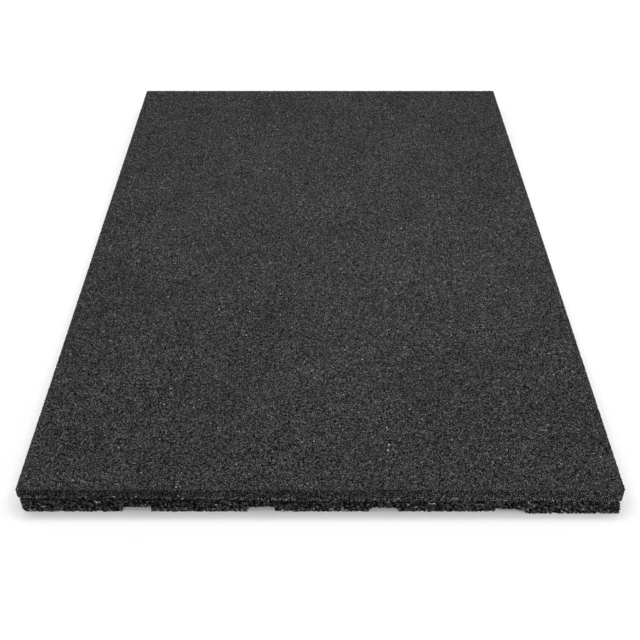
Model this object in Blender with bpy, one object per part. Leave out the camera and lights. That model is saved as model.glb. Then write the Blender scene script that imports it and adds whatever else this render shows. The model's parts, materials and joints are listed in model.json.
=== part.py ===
# Rubber safety tile: one slab of bonded rubber granulate, pressed in a single mould.
# Metres, +Z up. The origin is the middle of the underside, and the photographed edge faces -Y.

import bmesh
import bpy
from mathutils import Matrix, Vector

# Whole tile
TILE_WIDTH = 0.500
TILE_LENGTH = 0.750
TILE_THICKNESS = 0.028

# Fine granulate on top. The photographed edge shows it thinner at -X than at +X, and its lower line
# drops between these two shares of the width.
FINE_DEPTH_LEFT = 0.0098
FINE_DEPTH_RIGHT = 0.0142
DROP_START = 0.10
DROP_END = 0.60
DROP_STATIONS = 8
TOP_EDGE_RADIUS = 0.0010
LIP_EDGE_RADIUS = 0.0006
MOULD_CORNER_RADIUS = 0.0018

# Coarse granulate below, set back under the lip of the fine granulate
COARSE_SETBACK = 0.0010
COARSE_INTO_FINE = 0.0040
FOOT_EDGE_RADIUS = 0.0020

# Drainage channels along Y, open at both ends, between five feet
CHANNEL_COUNT = 4
CHANNEL_PITCH = 0.1035
CHANNEL_MOUTH = 0.0245
CHANNEL_ROOF = 0.0215
CHANNEL_DEPTH = 0.0050
CHANNEL_SHIFT = 0.0015
CUTTER_OVERRUN = 0.010

EDGE_STEPS = 3
MERGE_DISTANCE = 0.00001
JOIN_ANGLE = 0.001
CORNER_ANGLE = 1.0
FLAT_SLOPE = 0.1

# Dry black rubber, as a linear colour
RUBBER_GREY = (0.048, 0.048, 0.048, 1.0)
RUBBER_ROUGHNESS = 0.92


def clear_scene():
    for item in list(bpy.data.objects):
        bpy.data.objects.remove(item, do_unlink=True)


def new_collection(name):
    group = bpy.data.collections.new(name)
    bpy.context.scene.collection.children.link(group)
    return group


def add_object(name, bm, collection):
    mesh = bpy.data.meshes.new(name)
    bm.to_mesh(mesh)
    bm.free()
    item = bpy.data.objects.new(name, mesh)
    collection.objects.link(item)
    return item


def block(low, high):
    """A box between two corners."""
    low = Vector(low)
    high = Vector(high)
    size = high - low
    bm = bmesh.new()
    bmesh.ops.create_cube(bm, size=1.0)
    bmesh.ops.scale(bm, vec=size, verts=bm.verts)
    bmesh.ops.translate(bm, vec=(low + high) / 2, verts=bm.verts)
    return bm


def round_edges(bm, chosen, radius):
    bm.normal_update()
    edges = [edge for edge in bm.edges if chosen(edge)]
    bmesh.ops.bevel(bm, geom=edges, offset=radius, segments=EDGE_STEPS, profile=0.5, affect="EDGES")


def is_corner(edge):
    """An upright edge between two sides at right angles."""
    start, end = (vert.co for vert in edge.verts)
    upright = abs(start.x - end.x) < MERGE_DISTANCE and abs(start.y - end.y) < MERGE_DISTANCE
    return upright and edge.calc_face_angle() > CORNER_ANGLE


def is_rim(edge, facing):
    """An edge between a side and the top, with facing 1, or the underside, with facing -1."""
    slopes = [face.normal.z * facing for face in edge.link_faces]
    return min(slopes) < FLAT_SLOPE and max(slopes) > 1 - FLAT_SLOPE


def fine_underside(x):
    """Height of the lower face of the fine granulate at x: level, an eased drop, and level again."""
    share = (x / TILE_WIDTH + 0.5 - DROP_START) / (DROP_END - DROP_START)
    share = min(max(share, 0), 1)
    eased = share * share * (3 - 2 * share)
    return TILE_THICKNESS - FINE_DEPTH_LEFT - (FINE_DEPTH_RIGHT - FINE_DEPTH_LEFT) * eased


def cut_stations(bm):
    """Cuts the block across X where its lower face drops, so that the face can follow the curve."""
    for station in range(DROP_STATIONS + 1):
        share = DROP_START + (DROP_END - DROP_START) * station / DROP_STATIONS
        place = Vector((TILE_WIDTH * (share - 0.5), 0, 0))
        whole = bm.verts[:] + bm.edges[:] + bm.faces[:]
        bmesh.ops.bisect_plane(bm, geom=whole, plane_co=place, plane_no=(1, 0, 0))


def fine_course():
    """The upper, full-width band, with the dropping line as its lower face."""
    half_width = TILE_WIDTH / 2
    half_length = TILE_LENGTH / 2
    bm = block((-half_width, -half_length, 0), (half_width, half_length, TILE_THICKNESS))
    cut_stations(bm)
    for vert in bm.verts:
        if vert.co.z < TILE_THICKNESS / 2:
            vert.co.z = fine_underside(vert.co.x)
    bmesh.ops.dissolve_limit(bm, angle_limit=JOIN_ANGLE, verts=bm.verts, edges=bm.edges)
    round_edges(bm, is_corner, MOULD_CORNER_RADIUS)
    round_edges(bm, lambda edge: is_rim(edge, 1), TOP_EDGE_RADIUS)
    round_edges(bm, lambda edge: is_rim(edge, -1), LIP_EDGE_RADIUS)
    return bm


def coarse_course():
    """The lower, set-back band, which reaches up into the fine granulate."""
    half_width = TILE_WIDTH / 2 - COARSE_SETBACK
    half_length = TILE_LENGTH / 2 - COARSE_SETBACK
    top = TILE_THICKNESS - FINE_DEPTH_LEFT + COARSE_INTO_FINE
    bm = block((-half_width, -half_length, 0), (half_width, half_length, top))
    round_edges(bm, lambda edge: is_corner(edge) or is_rim(edge, -1), FOOT_EDGE_RADIUS)
    return bm


def channel(middle):
    """A drainage channel's space: wider at its mouth than at its roof, and longer than the tile."""
    half_mouth = CHANNEL_MOUTH / 2
    half_run = TILE_LENGTH / 2 + CUTTER_OVERRUN
    bm = block((-half_mouth, -half_run, -CHANNEL_DEPTH), (half_mouth, half_run, CHANNEL_DEPTH))
    roof = [vert for vert in bm.verts if vert.co.z > 0]
    floor = [vert for vert in bm.verts if vert.co.z < 0]
    taper = CHANNEL_ROOF / CHANNEL_MOUTH
    bmesh.ops.scale(bm, vec=(taper, 1, 1), verts=roof)
    bmesh.ops.scale(bm, vec=(2 - taper, 1, 1), verts=floor)
    bmesh.ops.transform(bm, matrix=Matrix.Translation((middle, 0, 0)), verts=bm.verts)
    return bm


def channel_middles():
    first = CHANNEL_SHIFT - CHANNEL_PITCH * (CHANNEL_COUNT - 1) / 2
    return [first + CHANNEL_PITCH * index for index in range(CHANNEL_COUNT)]


def rubber():
    material = bpy.data.materials.new("black_rubber_granulate")
    material.use_nodes = True
    shader = material.node_tree.nodes["Principled BSDF"]
    shader.inputs["Base Color"].default_value = RUBBER_GREY
    shader.inputs["Roughness"].default_value = RUBBER_ROUGHNESS
    shader.inputs["Metallic"].default_value = 0.0
    material.diffuse_color = RUBBER_GREY
    return material


def combine(target, tool, operation):
    tool.hide_render = True
    tool.display_type = "WIRE"
    step = target.modifiers.new(f"{operation.lower()}_{tool.name}", "BOOLEAN")
    step.operation = operation
    step.solver = "EXACT"
    step.object = tool


def build_tile():
    parts = new_collection("rubber_safety_tile")
    tools = new_collection("cutters")
    tile = add_object("rubber_tile", coarse_course(), parts)
    tile.data.materials.append(rubber())
    for number, middle in enumerate(channel_middles(), start=1):
        combine(tile, add_object(f"channel_{number}", channel(middle), tools), "DIFFERENCE")
    combine(tile, add_object("fine_course", fine_course(), tools), "UNION")


clear_scene()
build_tile()
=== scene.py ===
import json
import math
import random

import bmesh
import bpy
import numpy as np
from mathutils import Matrix, Vector, noise

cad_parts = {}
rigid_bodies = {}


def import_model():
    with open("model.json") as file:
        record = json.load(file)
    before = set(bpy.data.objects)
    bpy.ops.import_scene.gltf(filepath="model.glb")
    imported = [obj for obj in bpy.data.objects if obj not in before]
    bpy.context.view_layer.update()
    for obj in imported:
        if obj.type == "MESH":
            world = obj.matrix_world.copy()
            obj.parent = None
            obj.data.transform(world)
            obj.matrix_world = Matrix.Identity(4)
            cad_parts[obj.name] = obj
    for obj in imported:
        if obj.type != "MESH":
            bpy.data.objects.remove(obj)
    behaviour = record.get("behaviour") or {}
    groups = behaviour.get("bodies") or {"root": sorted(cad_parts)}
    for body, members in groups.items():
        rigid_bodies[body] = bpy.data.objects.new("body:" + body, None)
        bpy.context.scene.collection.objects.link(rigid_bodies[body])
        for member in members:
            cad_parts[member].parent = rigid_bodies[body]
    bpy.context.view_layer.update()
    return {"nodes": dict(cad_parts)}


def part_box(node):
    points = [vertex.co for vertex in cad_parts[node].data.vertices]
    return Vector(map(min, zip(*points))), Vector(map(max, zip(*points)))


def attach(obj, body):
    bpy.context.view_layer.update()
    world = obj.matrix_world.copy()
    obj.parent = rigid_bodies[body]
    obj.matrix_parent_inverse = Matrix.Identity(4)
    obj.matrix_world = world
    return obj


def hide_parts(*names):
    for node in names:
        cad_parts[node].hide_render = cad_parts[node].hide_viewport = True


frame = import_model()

# Rubber safety tile: a pressed slab of black rubber granulate, fine on top and coarse below.
# Metres, +Z up. The photographed edge faces -Y.

tileNode = "rubber_tile"
tileLow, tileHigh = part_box(tileNode)
floorGap = 0.00005       # nothing of the tile is lower than this
mergeGap = 0.000001      # corners closer than this are one


# Camera, light and floor

cameraSetup = {
    "across": -0.0002,
    "heightAboveTile": 0.5890,
    "distanceToNearEdge": 0.5098,
    "downDegrees": 38.825,
    "lens": 52.58,         # millimetres, like the sensor
    "sensor": 36.0,
    "nearest": 0.01,
    "furthest": 50.0,
}

lightSetup = {
    "skyColour": (1.0, 1.0, 1.0, 1.0),
    "skyHeights": (0.15, 0.40),       # on a dome that is one high
    "skyStrengths": (1.0, 0.16),      # below the first height and above the second
    "ringLamps": 10,
    "ringPower": 142.0,               # of a lamp beside the tile
    "ringBack": 0.70,                 # share by which the lamps behind the tile are stronger
    "ringAcross": 7.6,
    "ringAlong": 4.0,
    "ringMiddle": -0.4,               # along the tile
    "ringHeight": 12.0,
    "lampSize": 3.6,
    "frontPower": 800.0,
    "frontPlace": (0.0, -12.4, 12.0),
    "spotPower": 6.0,
    "spotAcross": 0.74,               # width of the lit circle on the tile, fading to its rim
    "spotSoftness": 0.12,
    "spotPlace": (0.05, 0.03, 1.0),
}

floorSetup = {
    "size": 12.0,
    "colour": (0.99, 0.99, 0.99, 1.0),
    "roughness": 0.9,
}


def addCamera():
    lens = bpy.data.cameras.new("camera")
    lens.lens = cameraSetup["lens"]
    lens.sensor_width = cameraSetup["sensor"]
    lens.clip_start = cameraSetup["nearest"]
    lens.clip_end = cameraSetup["furthest"]
    camera = bpy.data.objects.new("camera", lens)
    bpy.context.scene.collection.objects.link(camera)
    away = tileLow.y - cameraSetup["distanceToNearEdge"]
    camera.location = (cameraSetup["across"], away, tileHigh.z + cameraSetup["heightAboveTile"])
    camera.rotation_euler = (math.radians(90.0 - cameraSetup["downDegrees"]), 0.0, 0.0)
    bpy.context.scene.camera = camera


def setRange(node, given, wanted):
    # the two values that a Map Range node is given, and the two that they become
    for name, value in zip(("From Min", "From Max", "To Min", "To Max"), given + wanted):
        node.inputs[name].default_value = value


def addSky():
    # white at the horizon and dimmer overhead
    world = bpy.data.worlds.new("white_studio")
    world.use_nodes = True
    nodes = world.node_tree.nodes
    join = world.node_tree.links.new
    background = nodes["Background"]
    background.inputs["Color"].default_value = lightSetup["skyColour"]
    direction = nodes.new("ShaderNodeTexCoord")
    height = nodes.new("ShaderNodeSeparateXYZ")
    strength = nodes.new("ShaderNodeMapRange")
    setRange(strength, lightSetup["skyHeights"], lightSetup["skyStrengths"])
    join(direction.outputs["Generated"], height.inputs["Vector"])
    join(height.outputs["Z"], strength.inputs["Value"])
    join(strength.outputs["Result"], background.inputs["Strength"])
    bpy.context.scene.world = world
    bpy.context.scene.view_settings.view_transform = "Standard"


def addDiskLamp(name, power, place, tilt):
    lamp = bpy.data.lights.new(name, "AREA")
    lamp.shape = "DISK"
    lamp.size = lightSetup["lampSize"]
    lamp.energy = power
    hangLamp(lamp, place, tilt)


def addRing():
    for index in range(lightSetup["ringLamps"]):
        turn = math.tau * index / lightSetup["ringLamps"]
        across = lightSetup["ringAcross"] * math.cos(turn)
        along = lightSetup["ringMiddle"] + lightSetup["ringAlong"] * math.sin(turn)
        power = lightSetup["ringPower"] * (1.0 + lightSetup["ringBack"] * math.sin(turn))
        addDiskLamp(f"ring_lamp_{index + 1}", power, (across, along, lightSetup["ringHeight"]), 0.0)


def addFrontLamp():
    place = lightSetup["frontPlace"]
    towardsTile = math.atan((tileLow.y - place[1]) / place[2])
    addDiskLamp("front_lamp", lightSetup["frontPower"], place, towardsTile)


def addSpot():
    spot = bpy.data.lights.new("soft_spot", "SPOT")
    drop = lightSetup["spotPlace"][2] - tileHigh.z
    spot.spot_size = 2.0 * math.atan(lightSetup["spotAcross"] / 2 / drop)
    spot.spot_blend = 1.0
    spot.shadow_soft_size = lightSetup["spotSoftness"]
    spot.energy = lightSetup["spotPower"]
    hangLamp(spot, lightSetup["spotPlace"], 0.0)


def hangLamp(light, place, tilt):
    # with no tilt a lamp points straight down, and otherwise up along the tile by that angle
    lamp = bpy.data.objects.new(light.name, light)
    lamp.location = place
    lamp.rotation_euler = (tilt, 0.0, 0.0)
    bpy.context.scene.collection.objects.link(lamp)


def addFloor():
    bm = bmesh.new()
    bmesh.ops.create_grid(bm, x_segments=1, y_segments=1, size=floorSetup["size"] / 2)
    material = bpy.data.materials.new("pale_floor")
    material.use_nodes = True
    shader = material.node_tree.nodes["Principled BSDF"]
    shader.inputs["Base Color"].default_value = floorSetup["colour"]
    shader.inputs["Roughness"].default_value = floorSetup["roughness"]
    floor = finishedObject("floor", bm, [material])


def finishedObject(name, bm, materials):
    mesh = bpy.data.meshes.new(name)
    bm.to_mesh(mesh)
    bm.free()
    for material in materials:
        mesh.materials.append(material)
    item = bpy.data.objects.new(name, mesh)
    bpy.context.scene.collection.objects.link(item)
    return item


def partOfTile(item):
    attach(item, "root")
    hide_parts(tileNode)


# Granulate materials

granulateSetup = {
    # the dark end of this ramp is painted shade in the pores' pits
    "tones": (             # fine pattern of pores and rubber, and its grey
        (0.32, 0.001),
        (0.42, 0.015),
        (0.50, 0.055),
        (0.58, 0.110),
        (0.70, 0.210),
    ),
    "shades": (            # share of the grains, and their lightness over the lightest
        (0.00, 0.06),
        (0.10, 0.13),
        (0.50, 0.18),
        (0.90, 0.25),
        (0.985, 0.34),
        (0.996, 0.55),
        (1.00, 0.80),
    ),
    "lightest": 5.0,
    "poreDetail": 1.5,
    "pitDepth": 0.00030,
    "mottle": 0.10,        # how much lighter and darker the soft patches are
    "mottleScale": 14.0,   # per metre
    "mottleDetail": 3.0,
    "mottleRange": (0.3, 0.7),
}

# pores are counted per metre, and so are the cells that give the shades where grains don't carry them
fineFinish = {"pores": 900.0, "tone": 1.19, "roughness": 0.80, "shine": 0.04}
# painted shade: the sides' finishes are darker than the top's, as less light falls on the sides
fineSideFinish = {"pores": 900.0, "tone": 1.10, "roughness": 0.85, "shine": 0.04}
# painted shade: the gap finishes, on the body between the grains, are darker than the grains, and the side's
# one darker still
fineGapFinish = {"cells": 520.0, "pores": 900.0, "tone": 0.62, "roughness": 0.80, "shine": 0.02}
fineSideGapFinish = {"cells": 520.0, "pores": 900.0, "tone": 0.27, "roughness": 0.85, "shine": 0.02}
# painted shade: the coarse granulate is darker for the shade in its open pores
coarseFinish = {"pores": 480.0, "tone": 0.45, "roughness": 0.85, "shine": 0.04}
coarseGapFinish = {"cells": 260.0, "pores": 480.0, "tone": 0.17, "roughness": 0.85, "shine": 0.02}
shredFinish = {"pores": 480.0, "tone": 3.0, "roughness": 0.75, "shine": 0.08}


def rampNode(tree, stops):
    # a colour ramp of greys: (place, grey) from dark to light
    node = tree.nodes.new("ShaderNodeValToRGB")
    elements = node.color_ramp.elements
    while len(elements) < len(stops):
        elements.new(0.5)
    for element, (place, grey) in zip(elements, stops):
        element.position = place
        element.color = (grey, grey, grey, 1.0)
    return node


def granulateGroup():
    # dark pores as painted shade in their pits, grain shades and soft patches, from object coordinates and
    # each grain's own shade
    setup = granulateSetup
    group = bpy.data.node_groups.new("granulate", "ShaderNodeTree")
    for name, default in (("Shade", 0.5), ("Tone", 1.0), ("Pores", 900.0)):
        socket = group.interface.new_socket(name=name, in_out="INPUT", socket_type="NodeSocketFloat")
        socket.default_value = default
    for name, kind in (("Color", "NodeSocketColor"), ("Height", "NodeSocketFloat")):
        group.interface.new_socket(name=name, in_out="OUTPUT", socket_type=kind)
    add = group.nodes.new
    join = group.links.new
    given = add("NodeGroupInput")
    result = add("NodeGroupOutput")
    place = add("ShaderNodeTexCoord")
    pores = add("ShaderNodeTexNoise")
    pores.inputs["Detail"].default_value = setup["poreDetail"]
    tones = rampNode(group, setup["tones"])
    shades = rampNode(group, setup["shades"])
    patches = add("ShaderNodeTexNoise")
    patches.inputs["Scale"].default_value = setup["mottleScale"]
    patches.inputs["Detail"].default_value = setup["mottleDetail"]
    darkest = (1.0 - setup["mottle"]) * setup["lightest"]
    palest = (1.0 + setup["mottle"]) * setup["lightest"]
    evened = add("ShaderNodeMapRange")
    setRange(evened, setup["mottleRange"], (darkest, palest))
    strength = add("ShaderNodeMath")
    strength.operation = "MULTIPLY"
    shaded = add("ShaderNodeMath")
    shaded.operation = "MULTIPLY"
    toned = add("ShaderNodeVectorMath")
    toned.operation = "SCALE"
    join(place.outputs["Object"], patches.inputs["Vector"])
    join(place.outputs["Object"], pores.inputs["Vector"])
    join(given.outputs["Pores"], pores.inputs["Scale"])
    join(pores.outputs["Fac"], tones.inputs["Fac"])
    join(given.outputs["Shade"], shades.inputs["Fac"])
    join(patches.outputs["Fac"], evened.inputs["Value"])
    join(evened.outputs["Result"], strength.inputs[0])
    join(given.outputs["Tone"], strength.inputs[1])
    join(strength.outputs["Value"], shaded.inputs[0])
    join(shades.outputs["Color"], shaded.inputs[1])
    join(tones.outputs["Color"], toned.inputs[0])
    join(shaded.outputs["Value"], toned.inputs["Scale"])
    join(toned.outputs["Vector"], result.inputs["Color"])
    join(pores.outputs["Fac"], result.inputs["Height"])
    return group


def granulate(name, finish):
    material = bpy.data.materials.new(name)
    material.use_nodes = True
    nodes = material.node_tree.nodes
    join = material.node_tree.links.new
    shader = nodes["Principled BSDF"]
    shader.inputs["Roughness"].default_value = finish["roughness"]
    shader.inputs["Specular IOR Level"].default_value = finish["shine"]
    group = nodes.new("ShaderNodeGroup")
    group.node_tree = granulateNodes
    group.inputs["Tone"].default_value = finish["tone"]
    group.inputs["Pores"].default_value = finish["pores"]
    if "cells" in finish:
        place = nodes.new("ShaderNodeTexCoord")
        cells = nodes.new("ShaderNodeTexVoronoi")
        cells.inputs["Scale"].default_value = finish["cells"]
        single = nodes.new("ShaderNodeSeparateColor")
        join(place.outputs["Object"], cells.inputs["Vector"])
        join(cells.outputs["Color"], single.inputs["Color"])
        join(single.outputs["Red"], group.inputs["Shade"])
    else:
        shade = nodes.new("ShaderNodeAttribute")
        shade.attribute_name = "shade"
        join(shade.outputs["Fac"], group.inputs["Shade"])
    bump = nodes.new("ShaderNodeBump")
    bump.inputs["Distance"].default_value = granulateSetup["pitDepth"]
    join(group.outputs["Color"], shader.inputs["Base Color"])
    join(group.outputs["Height"], bump.inputs["Height"])
    join(bump.outputs["Normal"], shader.inputs["Normal"])
    return material


# Where the coarse granulate begins

courseSetup = {
    "fineDepthLeft": 0.0098,
    "fineDepthRight": 0.0142,
    "dropStart": 0.10,
    "dropEnd": 0.60,
    "waviness": 0.0007,
    "waveLength": 0.030,
}


def courseLine(x, y):
    # height of the line between the two grades of granulate, which drops from -X to +X
    setup = courseSetup
    share = (x - tileLow.x) / (tileHigh.x - tileLow.x)
    share = min(max((share - setup["dropStart"]) / (setup["dropEnd"] - setup["dropStart"]), 0.0), 1.0)
    eased = share * share * (3.0 - 2.0 * share)
    depth = setup["fineDepthLeft"] + (setup["fineDepthRight"] - setup["fineDepthLeft"]) * eased
    wave = noise.noise(Vector((x, y, 0.0)) / setup["waveLength"])
    return tileHigh.z - depth + wave * setup["waviness"]


# Body: the solid's own shape, cut into a fine net and roughened

bodySetup = {
    "cell": 0.0092,        # of the net, seen from above
    "sideRow": 0.0026,
    "topCuts": 1,          # more cuts, in edges longer than longEdge
    "sideCuts": 3,
    "undersideCuts": 1,
    "longEdge": 0.0045,
    "fineSink": 0.00075,   # how far the net lies under the mould's faces
    "rimSink": 0.00005,    # and within rimReach of the sides
    "rimReach": 0.0030,
    "fineRough": 0.00030,
    "coarseSink": 0.0004,
    "coarseRough": 0.0005,
    "lipShadow": 0.0022,   # height of the hollow under the lip of the fine granulate
    "lipHollow": 0.0012,
    "shift": 0.0005,       # how far net points wander along the faces
    "rounding": 0.0022,    # reach of the solid's rounded edges
    "roundingKept": 0.25,  # share of that rounding that the photographed edges show
    "edgeBand": 0.0025,    # how far in from a wall a face still belongs to the edges
    "topBand": 0.0030,     # and down from the top to the top
    "topSlope": 0.6,
    "flatAngle": 0.2,      # degrees up to which the solid's flat faces are joined
    "seed": 11,
}


def cutInto(bm, axis, step):
    start, end = tileLow[axis], tileHigh[axis]
    normal = Vector((0.0, 0.0, 0.0))
    normal[axis] = 1.0
    count = round((end - start) / step)
    for index in range(1, count):
        place = normal * (start + (end - start) * index / count)
        everything = bm.verts[:] + bm.edges[:] + bm.faces[:]
        bmesh.ops.bisect_plane(bm, geom=everything, dist=mergeGap, plane_co=place, plane_no=normal)


def fromWall(place):
    # how far a place is in from the nearest of the four sides
    return min(tileHigh.x - abs(place.x), tileHigh.y - abs(place.y))


def fineAt(place):
    return place.z > courseLine(place.x, place.y)


def faceRegion(face):
    setup = bodySetup
    middle = face.calc_center_median()
    if face.normal.z > setup["topSlope"] and middle.z > tileHigh.z - setup["topBand"]:
        return "top"
    if fromWall(middle) < setup["edgeBand"]:
        return "fineEdge" if fineAt(middle) else "coarseEdge"
    return "underside"


def subdivideRegion(bm, regions, cuts, longest):
    edges = set()
    for face in bm.faces:
        if faceRegion(face) in regions:
            edges.update(edge for edge in face.edges if edge.calc_length() > longest)
    bmesh.ops.subdivide_edges(bm, edges=list(edges), cuts=cuts, use_grid_fill=True)


def bodyNet():
    setup = bodySetup
    bm = bmesh.new()
    bm.from_mesh(frame["nodes"][tileNode].data)
    bmesh.ops.remove_doubles(bm, verts=bm.verts, dist=mergeGap)
    flat = math.radians(setup["flatAngle"])
    bmesh.ops.dissolve_limit(bm, angle_limit=flat, verts=bm.verts, edges=bm.edges)
    cutInto(bm, 2, setup["sideRow"])
    cutInto(bm, 0, setup["cell"])
    cutInto(bm, 1, setup["cell"])
    bm.normal_update()
    subdivideRegion(bm, ("fineEdge", "coarseEdge"), setup["sideCuts"], setup["longEdge"])
    bm.normal_update()
    subdivideRegion(bm, ("top",), setup["topCuts"], setup["longEdge"])
    bm.normal_update()
    subdivideRegion(bm, ("underside",), setup["undersideCuts"], setup["longEdge"])
    bm.normal_update()
    return bm


def blend(pair, share):
    return pair[0] + (pair[1] - pair[0]) * share


def wallsOf(bm):
    # outermost places of the lowest third, where the coarse granulate is set back under the fine one
    low = [vert.co for vert in bm.verts if vert.co.z < tileHigh.z / 3]
    return Vector((max(place.x for place in low), max(place.y for place in low), tileHigh.z))


def tightenRims(bm, coarseWalls):
    # the photographed rims are crisper than the solid's rounded edges
    setup = bodySetup
    for vert in bm.verts:
        place = vert.co
        fine = fineAt(place)
        walls = tileHigh if fine else coarseWalls
        inward = [walls.x - abs(place.x), walls.y - abs(place.y), walls.z - place.z if fine else place.z]
        close = [axis for axis in range(3) if inward[axis] < setup["rounding"]]
        if len(close) < 2:
            continue
        for axis in close:
            kept = inward[axis] * setup["roundingKept"]
            if axis == 2:
                place.z = walls.z - kept if fine else kept
            else:
                place[axis] = math.copysign(walls[axis] - kept, place[axis])


def sinkAt(place):
    setup = bodySetup
    inward = fromWall(place)
    if fineAt(place):
        if inward < setup["rimReach"]:
            return setup["rimSink"], setup["fineRough"] / 2
        return setup["fineSink"], setup["fineRough"]
    underLine = courseLine(place.x, place.y) - place.z
    hollow = setup["lipHollow"] if underLine < setup["lipShadow"] and inward < setup["rimReach"] else 0.0
    return setup["coarseSink"] + hollow, setup["coarseRough"]


def roughen(bm):
    # sinks the net a little under the mould's faces, so that grains can stand on it
    setup = bodySetup
    chance = random.Random(setup["seed"])
    moves = []
    for vert in bm.verts:
        sink, rough = sinkAt(vert.co)
        depth = sink + rough * chance.uniform(-1.0, 1.0)
        sideways = Vector((chance.uniform(-1.0, 1.0), chance.uniform(-1.0, 1.0), chance.uniform(-1.0, 1.0)))
        sideways -= sideways.project(vert.normal)
        moves.append(sideways * setup["shift"] - vert.normal * depth)
    for vert, move in zip(bm.verts, moves):
        vert.co += move
        vert.co.z = max(vert.co.z, floorGap)


# The photographed edge: a worn lower left corner, a bulging right foot and crisp channel mouths

edgeShape = {
    "wornAcross": 0.0042,
    "wornAlong": 0.0120,
    "wornUp": 0.0040,
    "bulgeStart": 0.164,   # where the right foot begins, across
    "bulgeTop": 0.0120,
    "bulge": 0.0026,
    "spread": 0.0004,      # how far all the feet stand forward at the floor
    "bulgeDepth": 0.0060,
    "bulgeRunIn": 0.0040,
    "bulgeAcross": 0.0011,
    "bulgeAlong": 0.0600,
    "bulgeRise": 3.0,      # how much sooner the sideways bulge is full, going down
}

channelSetup = {
    "pitch": 0.1035,
    "shift": 0.0015,
    "mouth": 0.0245,
    "roof": 0.0215,
    "depth": 0.0050,
    # at the photographed edge: each channel's depth, and how far its left and its right wall are off the
    # solid's, at the floor and at the roof
    "mouths": (
        (0.0056, (-0.0008, 0.0), (0.0, 0.0007)),
        (0.0056, (0.0012, 0.0014), (0.0004, 0.0009)),
        (0.0048, (0.0, -0.0009), (0.0009, 0.0009)),
        (0.0031, (0.0009, 0.0014), (0.0036, 0.0028)),
    ),
    "mouthReach": 0.050,   # how far along the tile that goes
    "wallReach": 0.016,    # how much rubber beside a wall moves with it
    "roofReach": 0.0040,   # and over a roof
    "cornerReach": 0.0025,
    "spill": 0.0003,       # how far crumbs may stand into a channel
}


def wearCorner(places):
    setup = edgeShape
    reach = Vector((1.0 / setup["wornAcross"], 1.0 / setup["wornAlong"], 1.0 / setup["wornUp"]))
    outward = np.array(-reach.normalized())
    start = np.array(tileLow) + (setup["wornAcross"], 0.0, 0.0)
    over = np.maximum((places - start) @ outward, 0.0)
    places -= over[:, None] * outward[None, :]


def bulgeFoot(places):
    setup = edgeShape
    near = np.clip(1.0 - (places[:, 1] - tileLow.y) / setup["bulgeDepth"], 0.0, 1.0)
    low = np.clip(1.0 - places[:, 2] / setup["bulgeTop"], 0.0, 1.0)
    right = np.clip((places[:, 0] - setup["bulgeStart"]) / setup["bulgeRunIn"], 0.0, 1.0)
    places[:, 1] -= (setup["bulge"] * right + setup["spread"]) * near * low
    corner = np.clip(1.0 - (places[:, 1] - tileLow.y) / setup["bulgeAlong"], 0.0, 1.0)
    side = np.clip(1.0 - (tileHigh.x - places[:, 0]) / setup["bulgeDepth"], 0.0, 1.0)
    places[:, 0] += setup["bulgeAcross"] * corner * side * np.clip(setup["bulgeRise"] * low, 0.0, 1.0)


def shapeChannels(places, spill):
    setup = channelSetup
    first = setup["shift"] - setup["pitch"] * (len(setup["mouths"]) - 1) / 2
    for index, mouth in enumerate(setup["mouths"]):
        shapeChannel(places, first + setup["pitch"] * index, mouth, spill)


def shapeChannel(places, middle, mouth, spill):
    # walls and roof are moved at the photographed mouth, and then rubber is pushed back out of the
    # channel, to the nearest of them
    setup = channelSetup
    depth, leftMoves, rightMoves = mouth
    atMouth = np.clip(1.0 - (places[:, 1] - tileLow.y) / setup["mouthReach"], 0.0, 1.0)
    across = places[:, 0] - middle
    rise = np.clip(places[:, 2] / setup["depth"], 0.0, 1.0)
    low = np.clip(1.0 - (places[:, 2] - setup["depth"]) / setup["roofReach"], 0.0, 1.0)
    half = blend((setup["mouth"], setup["roof"]), rise) / 2
    left = blend(leftMoves, rise) * atMouth
    right = blend(rightMoves, rise) * atMouth
    change = (depth - setup["depth"]) * atMouth
    outside = np.abs(across) - half
    beside = np.clip(1.0 - outside / setup["wallReach"], 0.0, 1.0)
    within = np.clip(1.0 - outside / setup["cornerReach"], 0.0, 1.0)
    share = np.clip(across / half / 2 + 0.5, 0.0, 1.0)
    places[:, 0] += blend((left, right), share) * beside * low
    places[:, 2] += change * within * rise * low
    toLeft = places[:, 0] - (middle - half + left + spill)
    toRight = middle + half + right - spill - places[:, 0]
    toRoof = setup["depth"] + change - spill - places[:, 2]
    inside = (toLeft > 0.0) & (toRight > 0.0) & (toRoof > 0.0)
    upward = inside & (toRoof <= np.minimum(toLeft, toRight))
    leftward = inside & ~upward & (toLeft < toRight)
    rightward = inside & ~upward & ~leftward
    places[upward, 2] += toRoof[upward]
    places[leftward, 0] -= toLeft[leftward]
    places[rightward, 0] += toRight[rightward]


def shapeEdge(places, spill):
    shapeChannels(places, spill)
    bulgeFoot(places)
    wearCorner(places)


# Grains: small irregular solids, scattered over the body and pressed flat on the mould's walls

grainUnevenness = 0.25
mould = {"proudSide": 0.0003, "proudTop": 0.0002}    # how far grains may stand out of the solid


def chipShape(name, seed):
    # a few faces only, because the tile carries a hundred thousand
    bm = bmesh.new()
    bmesh.ops.create_uvsphere(bm, u_segments=3, v_segments=2, radius=0.5)
    return finishedGrain(name, bm, random.Random(seed), grainUnevenness)


def crumbShape(name, seed):
    bm = bmesh.new()
    bmesh.ops.create_icosphere(bm, subdivisions=1, radius=0.5)
    return finishedGrain(name, bm, random.Random(seed), grainUnevenness)


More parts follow.
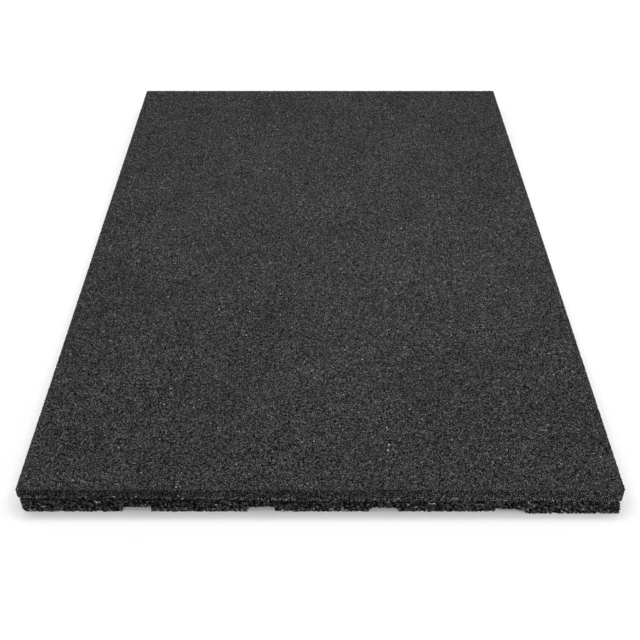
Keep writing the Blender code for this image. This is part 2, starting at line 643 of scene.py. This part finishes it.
def shredShape(name, seed, setup):
    # a thin strip of rubber that curls through an arc
    chance = random.Random(seed)
    bm = bmesh.new()
    radius = setup["curl"] * chance.uniform(*setup["curlShares"])
    angle = setup["length"] * chance.uniform(*setup["lengthShares"]) / radius
    section = bmesh.ops.create_circle(bm, cap_ends=True, segments=4, radius=setup["thickness"] / 2)
    bmesh.ops.scale(bm, vec=(1.0, setup["flatness"], 1.0), verts=section["verts"])
    bmesh.ops.rotate(bm, verts=bm.verts, matrix=Matrix.Rotation(math.radians(90.0), 3, "X"))
    bmesh.ops.translate(bm, verts=bm.verts, vec=(radius, 0.0, 0.0))
    bmesh.ops.spin(
        bm, geom=bm.verts[:] + bm.edges[:] + bm.faces[:], axis=(0.0, 0.0, 1.0), cent=(0.0, 0.0, 0.0),
        angle=angle, steps=setup["steps"], use_duplicate=False,
    )
    bmesh.ops.recalc_face_normals(bm, faces=bm.faces)
    middle = sum((vert.co for vert in bm.verts), Vector()) / len(bm.verts)
    bmesh.ops.translate(bm, verts=bm.verts, vec=-middle)
    level = Matrix.Rotation(math.radians(-90.0) - angle / 2, 3, "Z")
    bmesh.ops.rotate(bm, verts=bm.verts, matrix=level)
    return finishedGrain(name, bm, chance, setup["unevenness"])


def finishedGrain(name, bm, chance, unevenness):
    for vert in bm.verts:
        vert.co *= chance.uniform(1.0 - unevenness, 1.0 + unevenness)
    mesh = bpy.data.meshes.new(name)
    bm.to_mesh(mesh)
    bm.free()
    return bpy.data.objects.new(name, mesh)


# Each grain has a square cell of its own in the piece's map, with its upper and its lower half side by side

cellSetup = {
    "margin": 0.04,
    "furthest": 115.0,     # degrees from a half's pole to the rim of its circle
}


def cellPattern(mesh):
    # places in the cell of one grain's face corners, in the mesh's order; all shapes of a set share it
    pattern = []
    for face in mesh.polygons:
        upper = face.center.z > 0.0
        middle = 0.25 if upper else 0.75
        for index in face.vertices:
            place = mesh.vertices[index].co
            fromPole = math.atan2(math.hypot(place.x, place.y), place.z if upper else -place.z)
            turn = math.atan2(place.y, place.x)
            reach = 0.25 * min(fromPole / math.radians(cellSetup["furthest"]), 1.0)
            pattern.append((middle + reach * math.cos(turn), 0.5 + 2.0 * reach * math.sin(turn)))
    return np.array(pattern)


def layOutCells(mesh, pattern):
    grains = len(mesh.loops) // len(pattern)
    across = math.ceil(math.sqrt(grains / 2))
    down = math.ceil(grains / across)
    order = np.arange(grains)
    corner = np.stack((order % across, order // across), axis=1)
    inCell = cellSetup["margin"] + (1.0 - 2.0 * cellSetup["margin"]) * pattern
    places = (corner[:, None, :] + inCell[None, :, :]) / (across, down)
    layer = mesh.uv_layers.new(name="OFBake")
    layer.uv.foreach_set("vector", places.astype(np.float32).ravel())


def grainSet(name, shapes):
    collection = bpy.data.collections.new(name)
    for shape in shapes:
        collection.objects.link(shape)
    return collection


def randomVector(tree, low, high, seed):
    node = tree.nodes.new("FunctionNodeRandomValue")
    node.data_type = "FLOAT_VECTOR"
    node.inputs[0].default_value = low
    node.inputs[1].default_value = high
    node.inputs["Seed"].default_value = seed
    return node.outputs[0]


def randomShade(tree, seed):
    node = tree.nodes.new("FunctionNodeRandomValue")
    node.data_type = "FLOAT"
    node.inputs["Seed"].default_value = seed
    return node.outputs[1]


def scatterTree(setup, grains):
    tree = bpy.data.node_groups.new("scatter_grains", "GeometryNodeTree")
    tree.interface.new_socket(name="Geometry", in_out="INPUT", socket_type="NodeSocketGeometry")
    tree.interface.new_socket(name="Geometry", in_out="OUTPUT", socket_type="NodeSocketGeometry")
    add = tree.nodes.new
    join = tree.links.new
    carrier = add("NodeGroupInput")
    result = add("NodeGroupOutput")
    points = add("GeometryNodeDistributePointsOnFaces")
    points.distribute_method = "POISSON"
    points.inputs["Distance Min"].default_value = setup["spacing"]
    points.inputs["Density Max"].default_value = setup["tries"]
    points.inputs["Seed"].default_value = setup["seed"]
    shapes = add("GeometryNodeCollectionInfo")
    shapes.inputs["Collection"].default_value = grains
    shapes.inputs["Separate Children"].default_value = True
    shapes.inputs["Reset Children"].default_value = True
    tilt = math.radians(setup["tilt"])
    spin = math.radians(setup["spin"])
    turn = randomVector(tree, (-tilt, -tilt, -spin), (tilt, tilt, spin), setup["seed"] + 1)
    size = randomVector(tree, setup["sizeLow"], setup["sizeHigh"], setup["seed"] + 2)
    shade = randomShade(tree, setup["seed"] + 3)
    euler = add("FunctionNodeEulerToRotation")
    turned = add("FunctionNodeRotateRotation")
    turned.rotation_space = "LOCAL"
    instances = add("GeometryNodeInstanceOnPoints")
    instances.inputs["Pick Instance"].default_value = True
    shaded = add("GeometryNodeStoreNamedAttribute")
    shaded.domain = "INSTANCE"
    shaded.inputs["Name"].default_value = "shade"
    solid = add("GeometryNodeRealizeInstances")
    join(carrier.outputs[0], points.inputs["Mesh"])
    join(turn, euler.inputs[0])
    join(points.outputs["Rotation"], turned.inputs["Rotation"])
    join(euler.outputs[0], turned.inputs["Rotate By"])
    join(points.outputs["Points"], instances.inputs["Points"])
    join(shapes.outputs[0], instances.inputs["Instance"])
    join(turned.outputs[0], instances.inputs["Rotation"])
    join(size, instances.inputs["Scale"])
    join(instances.outputs[0], shaded.inputs["Geometry"])
    join(shade, shaded.inputs["Value"])
    join(shaded.outputs[0], solid.inputs["Geometry"])
    join(solid.outputs[0], result.inputs[0])
    return tree


def carrierOf(bm, wanted):
    # a loose copy of the faces that carry one kind of grain
    copy = bm.copy()
    unwanted = [face for face in copy.faces if not wanted(face)]
    bmesh.ops.delete(copy, geom=unwanted, context="FACES")
    return copy


def scatter(name, bm, wanted, setup, grains, material, walls):
    pattern = cellPattern(grains.objects[0].data)
    tree = scatterTree(setup, grains)
    carrier = finishedObject("carrier", carrierOf(bm, wanted), [])
    carrier.modifiers.new("grains", "NODES").node_group = tree
    depsgraph = bpy.context.evaluated_depsgraph_get()
    mesh = bpy.data.meshes.new_from_object(carrier.evaluated_get(depsgraph))
    mesh.name = name
    mesh.materials.clear()
    mesh.materials.append(material)
    pressIntoMould(mesh, walls)
    layOutCells(mesh, pattern)
    bpy.data.objects.remove(carrier)
    bpy.data.node_groups.remove(tree)
    item = bpy.data.objects.new(name, mesh)
    bpy.context.scene.collection.objects.link(item)
    partOfTile(item)
    print("  ", name, len(mesh.polygons), "faces")
    return item


def placesOf(mesh):
    places = np.empty(len(mesh.vertices) * 3, np.float32)
    mesh.vertices.foreach_get("co", places)
    return places.reshape(-1, 3).astype(float)


def setPlaces(mesh, places):
    mesh.vertices.foreach_set("co", places.astype(np.float32).ravel())
    mesh.update()


def pressIntoMould(mesh, walls):
    # what would stand out of the mould is flat on its walls
    places = placesOf(mesh)
    proud = np.array((mould["proudSide"], mould["proudSide"], mould["proudTop"]))
    high = np.array(walls) + proud
    low = np.array((-high[0], -high[1], floorGap))
    np.clip(places, low, high, out=places)
    shapeEdge(places, channelSetup["spill"])
    setPlaces(mesh, places)


# Painted light and shade on the edges' grains: a painted highlight along the lip and the foot, painted shade
# on the sides, a painted shadow in the hollow under the lip, and painted light growing towards the right end
# of the -Y edge

paintedEdgeLight = {
    # a painted highlight along the lip of the fine granulate, as if light from above caught it
    "paintedLipLightHeight": (0.0022, 0.0050),    # at the left and right ends of the photographed edge
    "paintedLipLightLow": (0.97, 0.98),
    "paintedLipLightHigh": 0.997,
    # painted shade: the edges' grains are darker than the top's, as less light falls on the sides
    "sideShadeShare": 0.15,
    # painted light: the -Y edge is painted lighter towards its right end, as if more light fell there
    "liftStart": 0.22,     # the photographed edge gets lighter between these shares of its length
    "liftEnd": 0.70,
    # painted light at the right end, less at the rim and more lower down, as if the floor's light fell there
    "rightLift": (0.48, 0.83),        # at the top rim, and at the height below it that follows
    "rightLiftHeight": 0.0100,
    # painted light on the coarse granulate towards the right end
    "coarseRightLift": 0.50,
    "speck": 0.985,        # grains lighter than this stay light
    # a painted shadow in the hollow under the lip
    "hollowHeight": 0.0042,
    "hollowShadowShare": 0.30,
    # painted light on the foot and more on the bulging right foot, as if the floor's light fell on them
    "footHeight": 0.0040,
    "footPaintedLight": 0.95,
    "rightFootPaintedLight": 0.78,
    # painted shade on the parts of the top's grains that hang over its rim
    "rimHeight": 0.0003,   # parts of the top's grains lower than this and within the reach are over its rim
    "rimReach": 0.0013,
    "rimOver": 0.0001,
}


def towardsRight(place):
    # how much of the painted light a place gets: 0 at the left end of the photographed edge and all along
    # the far one, 1 at its right end
    setup = paintedEdgeLight
    along = (tileHigh.y - place.y) / (tileHigh.y - tileLow.y)
    across = (place.x - tileLow.x) / (tileHigh.x - tileLow.x)
    across = (across - setup["liftStart"]) / (setup["liftEnd"] - setup["liftStart"])
    return min(max(along, 0.0), 1.0) * min(max(across, 0.0), 1.0)


def paintLightOnFineEdge(place, shade):
    setup = paintedEdgeLight
    right = towardsRight(place)
    if shade > setup["speck"]:
        return shade
    # a painted highlight along the lip
    if place.z - courseLine(place.x, place.y) < blend(setup["paintedLipLightHeight"], right):
        return blend((blend(setup["paintedLipLightLow"], right), setup["paintedLipLightHigh"]), shade)
    down = min((tileHigh.z - place.z) / setup["rightLiftHeight"], 1.0)
    # painted shade on the side, with painted light towards the right end and lower down
    return shade * setup["sideShadeShare"] + blend(setup["rightLift"], down) * right


def paintShadeOnTopRim(place, shade):
    # painted shade: what hangs over the rim of the top is dark, like the sides
    setup = paintedEdgeLight
    inward = fromWall(place)
    low = place.z < tileHigh.z - setup["rimHeight"]
    if shade < setup["speck"] and (inward < setup["rimOver"] or low and inward < setup["rimReach"]):
        return shade * setup["sideShadeShare"]
    return shade


def paintLightOnCoarseEdge(place, shade):
    setup = paintedEdgeLight
    right = towardsRight(place)
    # painted light on the bulging right foot
    if place.y < 0.0 and place.x > edgeShape["bulgeStart"]:
        return blend((setup["rightFootPaintedLight"], 1.0), shade)
    # painted shadow in the hollow under the lip, with painted light towards the right end
    if courseLine(place.x, place.y) - place.z < setup["hollowHeight"]:
        return shade * setup["hollowShadowShare"] + setup["coarseRightLift"] * right
    # painted light on the foot, as if the floor's light fell on it
    if place.z < setup["footHeight"]:
        return blend((setup["footPaintedLight"], 1.0), shade)
    # painted light towards the right end of the -Y edge
    return blend((setup["coarseRightLift"] * right, 1.0), shade)


def shadeBy(item, rule):
    data = item.data.attributes["shade"].data
    for vert, held in zip(item.data.vertices, data):
        held.value = rule(vert.co, held.value)


# a grain is tried at many places to the square metre, and stands where no other is closer than the spacing
fineGrains = {
    "spacing": 0.00145,
    "tries": 1200000.0,
    "tilt": 25.0,          # degrees each way; the spin is about the face's own direction
    "spin": 180.0,
    "sizeLow": (0.0014, 0.0013, 0.0012),
    "sizeHigh": (0.0027, 0.0022, 0.0022),
    "shapes": 7,
    "seed": 21,
}

coarseGrains = {
    "spacing": 0.0021,
    "tries": 500000.0,
    "tilt": 70.0,
    "spin": 180.0,
    "sizeLow": (0.0024, 0.0022, 0.0018),
    "sizeHigh": (0.0052, 0.0040, 0.0032),
    "shapes": 6,
    "seed": 31,
}

undersideGrains = {
    "spacing": 0.0080,
    "tries": 40000.0,
    "tilt": 40.0,
    "spin": 180.0,
    "sizeLow": (0.0035, 0.0032, 0.0014),
    "sizeHigh": (0.0075, 0.0055, 0.0026),
    "seed": 41,
}

shreds = {
    "spacing": 0.0095,
    "tries": 60000.0,
    "tilt": 12.0,
    "spin": 50.0,
    "sizeLow": (0.7, 0.7, 0.7),       # shares of the sizes below
    "sizeHigh": (1.3, 1.3, 1.2),
    "length": 0.0065,
    "thickness": 0.0010,
    "lengthShares": (0.7, 1.2),
    "curl": 0.0040,        # radius
    "curlShares": (0.7, 1.4),
    "flatness": 1.6,
    "unevenness": 0.05,
    "proud": 0.0004,       # how far they stand out of the crumbs
    "steps": 5,
    "shapes": 5,
    "seed": 51,
}


topStrips = 5


def onTop(strip):
    # the top's grains come in strips along the tile, because all of them in one mesh would be too many
    def wanted(face):
        share = (face.calc_center_median().x - tileLow.x) / (tileHigh.x - tileLow.x)
        number = min(max(math.floor(share * topStrips), 0), topStrips - 1)
        return faceRegion(face) == "top" and number == strip
    return wanted


def inRegion(region):
    return lambda face: faceRegion(face) == region


print("camera, light and floor")
addCamera()
addSky()
addRing()
addFrontLamp()
addSpot()
addFloor()

print("materials")
granulateNodes = granulateGroup()
fineBase = granulate("fine_base", fineGapFinish)
fineSideBase = granulate("fine_side_base", fineSideGapFinish)
fineGrain = granulate("fine_grain", fineFinish)
fineSideGrain = granulate("fine_side_grain", fineSideFinish)
coarseBase = granulate("coarse_base", coarseGapFinish)
coarseGrain = granulate("coarse_grain", coarseFinish)
shredRubber = granulate("shred", shredFinish)

print("body")
net = bodyNet()
regionSlots = {"top": 0, "fineEdge": 1, "coarseEdge": 2, "underside": 2}
for face in net.faces:
    face.material_index = regionSlots[faceRegion(face)]
coarseWalls = wallsOf(net)
tightenRims(net, coarseWalls)
net.normal_update()
roughen(net)
net.normal_update()
body = finishedObject("tile_body", net.copy(), [fineBase, fineSideBase, coarseBase])
bodyPlaces = placesOf(body.data)
np.clip(bodyPlaces, np.array(tileLow), np.array(tileHigh), out=bodyPlaces)
shapeEdge(bodyPlaces, 0.0)
setPlaces(body.data, bodyPlaces)
partOfTile(body)
print("  ", "tile_body", sum(len(face.verts) - 2 for face in net.faces), "triangles")

print("grains")
chipShapes = [chipShape(f"chip_{index}", index) for index in range(fineGrains["shapes"])]
crumbShapes = [crumbShape(f"crumb_{index}", index) for index in range(coarseGrains["shapes"])]
shredShapes = [shredShape(f"shred_{index}", index, shreds) for index in range(shreds["shapes"])]
chips = grainSet("chips", chipShapes)
crumbs = grainSet("crumbs", crumbShapes)
curls = grainSet("curls", shredShapes)
for strip in range(topStrips):
    name = f"fine_grains_top_{strip + 1}"
    topGrains = scatter(name, net, onTop(strip), fineGrains, chips, fineGrain, tileHigh)
    shadeBy(topGrains, paintShadeOnTopRim)
fineEdge = scatter("fine_grains_edge", net, inRegion("fineEdge"), fineGrains, chips, fineSideGrain, tileHigh)
shadeBy(fineEdge, paintLightOnFineEdge)
coarseEdge = scatter(
    "coarse_grains_edge", net, inRegion("coarseEdge"), coarseGrains, crumbs, coarseGrain, coarseWalls
)
shadeBy(coarseEdge, paintLightOnCoarseEdge)
scatter(
    "coarse_grains_underside", net, inRegion("underside"), undersideGrains, crumbs, coarseGrain, coarseWalls
)
shredWalls = coarseWalls + Vector((shreds["proud"], shreds["proud"], 0.0))
scatter("coarse_shreds", net, inRegion("coarseEdge"), shreds, curls, shredRubber, shredWalls)
for shape in chipShapes + crumbShapes + shredShapes:
    bpy.data.objects.remove(shape)
net.free()
